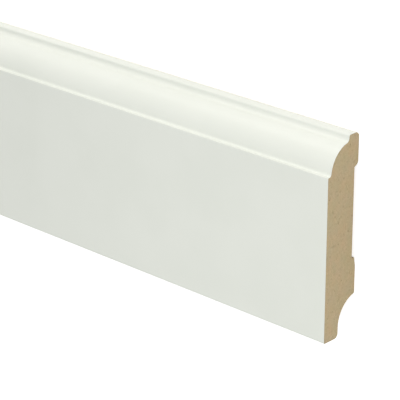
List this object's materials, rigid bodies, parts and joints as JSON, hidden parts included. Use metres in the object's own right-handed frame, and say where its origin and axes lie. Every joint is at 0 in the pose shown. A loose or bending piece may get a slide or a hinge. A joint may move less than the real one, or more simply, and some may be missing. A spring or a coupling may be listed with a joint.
{
  "type": "skirting board length",
  "caption": "Straight length of white-painted MDF skirting board with a quirked ovolo top edge, a relieved back and a rear cable channel.",
  "frame": {"origin": "centre of the board's footprint as it lies on its back, on the plane of its back", "axes": "+X along the length, +Y towards the moulded top edge, +Z out of the painted face"},
  "size_m": [2.4, 0.07, 0.015],
  "materials": {
    "painted_mdf": "satin"
  },
  "bodies": {
    "root": {"skirting_board": "painted_mdf"}
  },
  "joints": []
}
